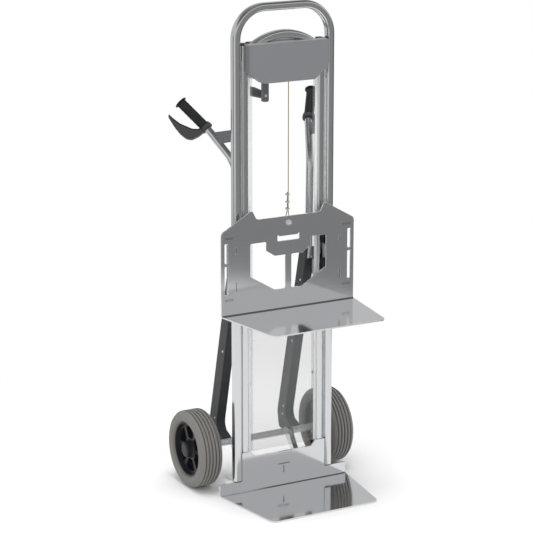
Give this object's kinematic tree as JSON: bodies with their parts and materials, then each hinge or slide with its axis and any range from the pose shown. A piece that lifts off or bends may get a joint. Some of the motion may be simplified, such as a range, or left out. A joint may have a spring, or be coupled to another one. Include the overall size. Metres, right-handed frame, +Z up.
{
  "type": "lifting sack truck",
  "caption": "Two-wheeled aluminium sack truck with a hand-cranked rope winch that raises a lifting platform along its posts.",
  "frame": {"origin": "on the floor, on the centre plane, under the front face of the toe plate's upstand", "axes": "+Z up, +X to the right seen from the front, -Y forward over the toe plate, +Y back to the wheels"},
  "size_m": [0.6024, 0.59, 1.627],
  "materials": {
    "polished_tube": "bright anodised extrusion",
    "bright_plate": "bright rolled sheet",
    "zinc_steel": "zinc plated",
    "dark_steel": "dark grey powder coat",
    "grey_cover": "mid grey satin coat",
    "grey_plastic": "dark grey moulded",
    "black_plastic": "black moulded",
    "black_rubber": "soft grip",
    "rim_plastic": "dark moulded rim",
    "grey_tyre": "non-marking grey tread",
    "clear_panel": "clear sheet",
    "bronze": "bearing bronze",
    "wire_rope": "laid wire rope"
  },
  "bodies": {
    "frame": {"outer_hoop": "polished_tube", "inner_rail_left": "polished_tube", "inner_rail_right": "polished_tube", "tube_caps": "black_plastic", "top_bow": "polished_tube", "guide_strips": "black_plastic", "toe_plate": "bright_plate", "toe_ribs": "bright_plate", "base_channel": "bright_plate", "rail_feet": "zinc_steel", "axle": "zinc_steel", "axle_retainers": "zinc_steel", "skid_left": "grey_plastic", "skid_right": "grey_plastic", "skid_rivets": "zinc_steel", "axle_struts": "bright_plate", "skid_brackets": "bright_plate", "handle_brackets": "dark_steel", "handle_tube_left": "polished_tube", "handle_tube_right": "polished_tube", "grip_left": "black_rubber", "grip_right": "black_rubber", "knuckle_guard_left": "grey_plastic", "knuckle_guard_right": "grey_plastic", "winch_plate": "zinc_steel", "winch_cover": "grey_cover", "winch_housing": "black_plastic", "housing_lid": "grey_cover", "drum_shaft": "zinc_steel", "crank_bushes": "bronze", "guard_panel": "clear_panel", "frame_screws": "zinc_steel", "frame_bolts": "zinc_steel", "rope": "wire_rope"},
    "carriage": {"lift_platform": "bright_plate", "carriage_cheeks": "bright_plate", "carriage_gussets": "bright_plate", "slide_shoes": "black_plastic", "shoe_screws": "zinc_steel", "eye_bolt": "zinc_steel", "cap_nut": "zinc_steel", "rope_eye": "wire_rope", "rope_clips": "zinc_steel"},
    "drum": {"rope_drum": "zinc_steel", "drum_gear": "zinc_steel"},
    "crank": {"crank_shaft": "zinc_steel", "ratchet_wheel": "dark_steel", "brake_discs": "dark_steel", "crank_arm": "dark_steel", "crank_pin": "zinc_steel"},
    "crank_handle": {"crank_grip": "grey_plastic"},
    "pawl": {"pawl": "dark_steel"},
    "wheel_left": {"tyre_left": "grey_tyre", "rim_left": "rim_plastic", "wheel_bearings_left": "zinc_steel", "hub_cap_left": "rim_plastic"},
    "wheel_right": {"tyre_right": "grey_tyre", "rim_right": "rim_plastic", "wheel_bearings_right": "zinc_steel", "hub_cap_right": "rim_plastic"}
  },
  "joints": [
    {"name": "carriage_lift", "type": "slide", "parent": "frame", "child": "carriage", "axis": [0, 0, 1], "range_m": [-0.575, 0.36], "deforming": ["rope"]},
    {"name": "drum_turn", "type": "hinge", "parent": "frame", "child": "drum", "pos_m": [-0.022, 0, 1.416], "axis": [0, 1, 0], "range_deg": [-750, 1190]},
    {"name": "crank_turn", "type": "hinge", "parent": "frame", "child": "crank", "pos_m": [-0.022, 0, 1.462], "axis": [0, 1, 0], "range_deg": [-3345, 2100]},
    {"name": "crank_grip_spin", "type": "hinge", "parent": "crank", "child": "crank_handle", "pos_m": [-0.022, 0.1, 1.314], "axis": [0, 1, 0], "continuous": true},
    {"name": "pawl_lift", "type": "hinge", "parent": "frame", "child": "pawl", "pos_m": [0.012, 0.043, 1.473], "axis": [0, 1, 0], "range_deg": [-12, 0], "stiffness_Nm_per_rad": 0.02, "springref_deg": 11.46},
    {"name": "wheel_left_roll", "type": "hinge", "parent": "frame", "child": "wheel_left", "pos_m": [-0.25275, 0.1546, 0.13], "axis": [1, 0, 0], "continuous": true},
    {"name": "wheel_right_roll", "type": "hinge", "parent": "frame", "child": "wheel_right", "pos_m": [0.25275, 0.1546, 0.13], "axis": [1, 0, 0], "continuous": true}
  ],
  "couplings": [
    {"joint": "drum_turn", "follows": "carriage_lift", "rad_per_m": -35.714},
    {"joint": "crank_turn", "follows": "carriage_lift", "rad_per_m": 101.19}
  ]
}
